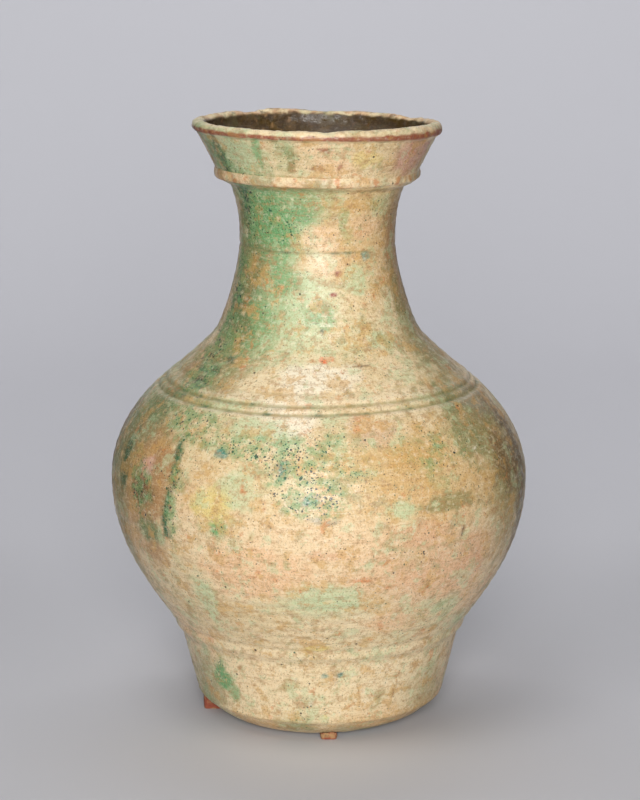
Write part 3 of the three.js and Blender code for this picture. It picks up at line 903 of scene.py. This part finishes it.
class Nodes:
    """A short way to write a material's node tree."""

    def __init__(self, name):
        self.material = bpy.data.materials.new(name)
        self.material.use_nodes = True
        self.tree = self.material.node_tree
        self.shader = self.tree.nodes["Principled BSDF"]
        self.where = self.add("ShaderNodeTexCoord").outputs["Object"]

    def add(self, kind, **settings):
        node = self.tree.nodes.new(kind)
        for key, value in settings.items():
            setattr(node, key, value)
        return node

    def join(self, source, target):
        if isinstance(source, (int, float)):
            target.default_value = source
        elif isinstance(source, (tuple, np.ndarray)):
            target.default_value = (*source, 1.0)
        else:
            self.tree.links.new(source, target)

    def noise(self, size, detail=3.0, rough=0.55, squeeze=None):
        node = self.add("ShaderNodeTexNoise")
        node.inputs["Scale"].default_value = 1 / size
        node.inputs["Detail"].default_value = detail
        node.inputs["Roughness"].default_value = rough
        where = self.where
        if squeeze:
            mapping = self.add("ShaderNodeMapping")
            mapping.inputs["Scale"].default_value = squeeze
            self.join(where, mapping.inputs["Vector"])
            where = mapping.outputs["Vector"]
        self.join(where, node.inputs["Vector"])
        return node.outputs["Fac"]

    def cells(self, size):
        node = self.add("ShaderNodeTexVoronoi")
        node.inputs["Scale"].default_value = 1 / size
        self.join(self.where, node.inputs["Vector"])
        return node.outputs["Distance"], node.outputs["Color"]

    def spread(self, value, low, high, to_low=0.0, to_high=1.0):
        node = self.add("ShaderNodeMapRange", interpolation_type="SMOOTHSTEP")
        self.join(value, node.inputs["Value"])
        for key, number in (("From Min", low), ("From Max", high), ("To Min", to_low), ("To Max", to_high)):
            self.join(number, node.inputs[key])
        return node.outputs["Result"]

    def math(self, operation, a, b):
        node = self.add("ShaderNodeMath", operation=operation)
        self.join(a, node.inputs[0])
        self.join(b, node.inputs[1])
        return node.outputs["Value"]

    def mix(self, amount, under, over, blend="MIX"):
        node = self.add("ShaderNodeMix", data_type="RGBA", blend_type=blend)
        self.join(amount, node.inputs["Factor"])
        self.join(under, node.inputs["A"])
        self.join(over, node.inputs["B"])
        return node.outputs["Result"]

    def attribute(self, name, output):
        return self.add("ShaderNodeAttribute", attribute_name=name).outputs[output]

    def layered(self, colour, noises, layers):
        for name, low, high, most, over in layers:
            colour = self.mix(self.spread(noises[name], low, high, 0, most), colour, linear(over))
        return colour

    def bump(self, height, distance, strength, under=None):
        node = self.add("ShaderNodeBump")
        node.inputs["Distance"].default_value = distance
        node.inputs["Strength"].default_value = strength
        self.join(height, node.inputs["Height"])
        if under is not None:
            self.join(under, node.inputs["Normal"])
        return node.outputs["Normal"]


def glaze_material():
    """Worn lead glaze: the painted tone in flecks, streaks and specks, with a soft uneven gloss."""
    n = Nodes("worn_lead_glaze")
    tone = n.attribute("glaze_tone", "Color")
    density = n.attribute("speck_density", "Fac")
    wear = n.attribute("glaze_wear", "Fac")
    noises = {name: n.noise(*settings) for name, settings in GLAZE_NOISE.items()}
    blotch, fleck, grain, streak = (noises[name] for name in ("blotch", "fleck", "grain", "streak"))
    colour = n.layered(tone, noises, LAYERS_BELOW)
    film = n.math("MULTIPLY", n.spread(density, 0.35, 0.9), n.spread(blotch, 0.42, 0.56))
    colour = n.mix(n.math("MULTIPLY", film, 0.6), colour, linear("green"))
    colour = n.layered(colour, noises, LAYERS_ABOVE)
    ragged = n.math("MULTIPLY", n.math("SUBTRACT", grain, 0.5), 0.7)
    for size, left_out in SPECK_SIZES:
        distance, random = n.cells(size)
        reach = n.math("MULTIPLY", density, n.spread(random, left_out, 1.0, 0.0, 0.5))
        gap = n.math("SUBTRACT", n.math("ADD", reach, ragged), distance)
        dark = n.mix(n.spread(blotch, 0.47, 0.53), linear("ink"), linear("deep_green"))
        colour = n.mix(n.spread(gap, -0.03, 0.06, 0, 0.9), colour, dark)
    pit_distance, pit_random = n.cells(PIT_SPACING)
    pit_reach = n.spread(pit_random, PITS_LEFT_OUT, 1.0, 0, 0.16)
    pit = n.spread(n.math("SUBTRACT", pit_reach, pit_distance), -0.02, 0.03)
    colour = n.mix(n.math("MULTIPLY", pit, 0.9), colour, linear("umber"))
    quiet = n.mix(n.spread(blotch, 0.45, 0.6, 0, 0.3), tone, linear("umber"))
    colour = n.mix(wear, quiet, colour)
    n.join(colour, n.shader.inputs["Base Color"])
    n.join(n.spread(blotch, 0.36, 0.62, 0.3, 0.52), n.shader.inputs["Roughness"])
    relief = n.bump(n.math("SUBTRACT", fleck, n.math("MULTIPLY", pit, 0.8)), 0.0006, 0.45)
    relief = n.bump(streak, 0.0008, 0.35, relief)
    relief = n.bump(grain, 0.0002, 0.4, relief)
    n.join(relief, n.shader.inputs["Normal"])
    return n.material


def clay_material():
    """Bare red earthenware with sand and ash stuck to it."""
    n = Nodes("bare_red_clay")
    grain = n.noise(0.0012, 4)
    blotch = n.noise(0.004, 3)
    colour = n.mix(n.spread(blotch, 0.4, 0.65), linear("rust"), linear("tan"))
    colour = n.mix(n.spread(grain, 0.5, 0.75, 0, 0.7), colour, linear("umber"))
    n.join(colour, n.shader.inputs["Base Color"])
    n.join(0.85, n.shader.inputs["Roughness"])
    n.join(n.bump(grain, 0.0006, 0.8), n.shader.inputs["Normal"])
    return n.material


def collar_section(skin):
    """The fillet's section, the share of the lumps that each point takes, and the way it stands out."""
    mouth = skin.path.points[skin.rows("mouth")]
    levels = np.array([COLLAR_LOW, COLLAR_HIGH])
    low, high = np.stack([np.interp(levels, mouth[:, 1], mouth[:, 0]), levels], 1)
    height = np.linalg.norm(high - low)
    along = (high - low) / height
    out = np.array([along[1], -along[0]])
    centre = (low + high) / 2
    angle = np.linspace(0, math.pi, COLLAR_FRONT_STEPS)
    bulge = np.sin(angle) ** 0.8 * (1 + 0.5 * np.cos(angle))
    front = centre + np.outer(-np.cos(angle) * height / 2, along) + np.outer(bulge * COLLAR_PROUD, out)
    across = np.linspace(COLLAR_BACK_SHARE, -COLLAR_BACK_SHARE, COLLAR_BACK_STEPS)
    back = centre + np.outer(across * height / 2, along) - out * COLLAR_SUNK
    share = np.concatenate([np.sin(angle), np.zeros(COLLAR_BACK_STEPS)])
    return np.vstack([front, back]), share, out


def collar(skin, material):
    """The applied fillet of clay round the foot of the mouth."""
    section, share, out = collar_section(skin)
    bearing = skin.bearing
    turned = np.stack([
        section[:, 0, None] * np.cos(bearing),
        section[:, 0, None] * np.sin(bearing),
        np.repeat(section[:, 1, None], AROUND, 1),
    ], -1)
    lumps = COLLAR_LUMPS * cloud(turned, "collar_lump") + COLLAR_GRAIN * cloud(turned, "collar_grain")
    push = share[:, None] * lumps
    turned[..., 0] += push * out[0] * np.cos(bearing)
    turned[..., 1] += push * out[0] * np.sin(bearing)
    turned[..., 2] += push * out[1]
    points = settle(turned)
    around = np.roll(points, -1, 1) - np.roll(points, 1, 1)
    up = np.roll(points, -1, 0) - np.roll(points, 1, 0)
    normals = np.cross(around, up)
    normals /= np.linalg.norm(normals, axis=-1, keepdims=True)
    edge = cloud(turned, "collar_edge")
    colours = layered(np.zeros(turned.shape) + linear("cream"), [
        ("peach", edge, -0.2, 0.5, 0.8),
        ("ochre", cloud(turned, "collar_ochre"), 0.2, 0.7, 0.6),
        ("orange", cloud(turned, "collar_orange"), 0.25, 0.5, 0.7),
        ("moss", cloud(turned, "collar_moss"), 0.2, 0.6, 0.5),
    ])
    row = np.arange(len(section))[:, None]
    lowest = smoothstep(0.34, 0.12, row / (COLLAR_FRONT_STEPS - 1)) * (row < COLLAR_FRONT_STEPS)
    colours = mixed(colours, "rust", lowest * smoothstep(-0.5, 0.2, edge) * 0.8)
    faces = []
    for i in range(len(section)):
        low_row, high_row = i * AROUND, ((i + 1) % len(section)) * AROUND
        for c in range(AROUND):
            d = (c + 1) % AROUND
            faces.append([low_row + c, low_row + d, high_row + d, high_row + c])
    points, normals, colours = (grid.reshape(-1, 3) for grid in (points, normals, colours))
    specks = np.full(len(points), COLLAR_SPECKS)
    wear = np.full(len(points), COLLAR_WEAR)
    mesh = mesh_of("fired_collar", points, normals, faces, colours, specks, wear, len(faces))
    return finished("fired_collar", mesh, material)


def spur(node, name, material):
    """A nub of kiln clay: the carried solid's shape, made fine and lumpy."""
    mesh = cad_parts[node].data.copy()
    mesh.name = name
    mesh.materials.clear()
    piece = finished(name, mesh, material)
    remesh = piece.modifiers.new("fine", "REMESH")
    remesh.mode = "VOXEL"
    remesh.voxel_size = SPUR_VOXEL
    smooth = piece.modifiers.new("worn", "SMOOTH")
    smooth.iterations = SPUR_SMOOTHING
    bpy.context.view_layer.update()
    evaluated = piece.evaluated_get(bpy.context.evaluated_depsgraph_get())
    fine = bpy.data.meshes.new_from_object(evaluated)
    piece.modifiers.clear()
    piece.data = fine
    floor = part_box(node)[0].z
    for vertex in fine.vertices:
        lump = noise.fractal(vertex.co / SPUR_LUMP_SIZE, 1.0, 2.0, 3)
        if vertex.co.z > floor + SPUR_FLAT:
            vertex.co += vertex.normal * lump * SPUR_LUMP_HEIGHT
        vertex.co.z = max(vertex.co.z, floor)
    return piece


def sweep():
    """A floor that curves up into a wall behind the jar, with painted light: paler near the camera, darker
    towards the back.
    """
    angle = np.linspace(-math.pi / 2, 0, SWEEP_STEPS)
    curve = np.stack([SWEEP_BACK + SWEEP_BEND * np.cos(angle), SWEEP_BEND + SWEEP_BEND * np.sin(angle)], 1)
    line = np.vstack([[(-SWEEP_SIZE, 0)], curve, [(SWEEP_BACK + SWEEP_BEND, SWEEP_SIZE)]])
    points = [(x, y, z) for y, z in line for x in (-SWEEP_SIZE, SWEEP_SIZE)]
    faces = [(2 * i, 2 * i + 1, 2 * i + 3, 2 * i + 2) for i in range(len(line) - 1)]
    mesh = bpy.data.meshes.new("sweep")
    mesh.from_pydata(points, [], faces)
    mesh.polygons.foreach_set("use_smooth", [True] * len(faces))
    n = Nodes("sweep_paint_with_painted_light")
    place = n.add("ShaderNodeSeparateXYZ")
    n.join(n.where, place.inputs["Vector"])
    # Painted light: the paint grows paler towards the camera and darker towards the back wall
    far = n.spread(place.outputs["Y"], *SWEEP_PAINTED_LIGHT_FADE)
    n.join(n.mix(far, SWEEP_NEAR_PAINTED_LIGHT, SWEEP_FAR_PAINTED_SHADE), n.shader.inputs["Base Color"])
    n.join(0.9, n.shader.inputs["Roughness"])
    return finished("sweep", mesh, n.material)


def flag(side):
    """A black board beside the jar and out of view, which darkens its flank as in the photograph."""
    x = side * FLAG_AWAY
    near, far = FLAG_DEPTH
    points = [(x, near, 0), (x, far, 0), (x, far, FLAG_HEIGHT), (x, near, FLAG_HEIGHT)]
    mesh = bpy.data.meshes.new("flag")
    mesh.from_pydata(points, [], [(0, 1, 2, 3)])
    n = Nodes("flag_cloth")
    n.join(FLAG_COLOUR, n.shader.inputs["Base Color"])
    n.join(1.0, n.shader.inputs["Roughness"])
    board = finished("flag", mesh, n.material)
    board.visible_camera = False
    return board


def studio():
    """A pale sweep, soft light from above and in front, and the photograph's camera."""
    sweep()
    flag(-1)
    flag(1)
    world = bpy.data.worlds.new("studio")
    world.use_nodes = True
    world.node_tree.nodes["Background"].inputs["Color"].default_value = (*WORLD_COLOUR, 1)
    world.node_tree.nodes["Background"].inputs["Strength"].default_value = WORLD_LEVEL
    bpy.context.scene.world = world
    for name, place, target, size, watts in LAMPS:
        light = bpy.data.lights.new(name, "AREA")
        light.shape = "RECTANGLE"
        light.size, light.size_y = size
        light.energy = watts
        lamp = bpy.data.objects.new(name, light)
        lamp.location = place
        lamp.rotation_euler = (Vector(target) - Vector(place)).to_track_quat("-Z", "Y").to_euler()
        bpy.context.scene.collection.objects.link(lamp)
    data = bpy.data.cameras.new("camera")
    data.sensor_width = SENSOR
    data.lens = FOCAL_PIXELS / PHOTO_HEIGHT * SENSOR
    camera = bpy.data.objects.new("camera", data)
    camera.location = (0, -CAMERA_BACK, CAMERA_HEIGHT)
    camera.rotation_euler = (math.pi / 2 - CAMERA_TILT, 0, 0)
    bpy.context.scene.collection.objects.link(camera)
    bpy.context.scene.camera = camera
    bpy.context.scene.view_settings.view_transform = "Standard"


# The jar's pieces: name, stretches of the section, and the node that each one stands for
PIECES = [
    ("fired_base", ["under", "floor"], "base_slab"),
    ("fired_foot", ["foot", "foot_in"], "foot_wall"),
    ("fired_lower_body", ["lower", "lower_in"], "lower_body"),
    ("fired_shoulder", ["upper", "upper_in"], "upper_body"),
    ("fired_neck", ["neck", "neck_in"], "neck"),
    ("fired_mouth", ["mouth", "mouth_in"], "mouth_cup"),
    ("fired_lip", ["lip"], "lip_roll"),
]

studio()
skin = Skin(jar_path())
skin.place(relief_of(skin))
skin.colours, skin.specks = paint(skin)
glaze = glaze_material()
clay = clay_material()
for piece_name, span_names, node_name in PIECES:
    piece = piece_of(skin, piece_name, span_names, glaze)
    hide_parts(node_name)
    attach(piece, "root")
ring = collar(skin, glaze)
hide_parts("mouth_collar")
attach(ring, "root")
for side in ("front", "left", "right"):
    nub = spur("kiln_spur_" + side, "clay_nub_" + side, clay)
    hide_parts("kiln_spur_" + side)
    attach(nub, "root")
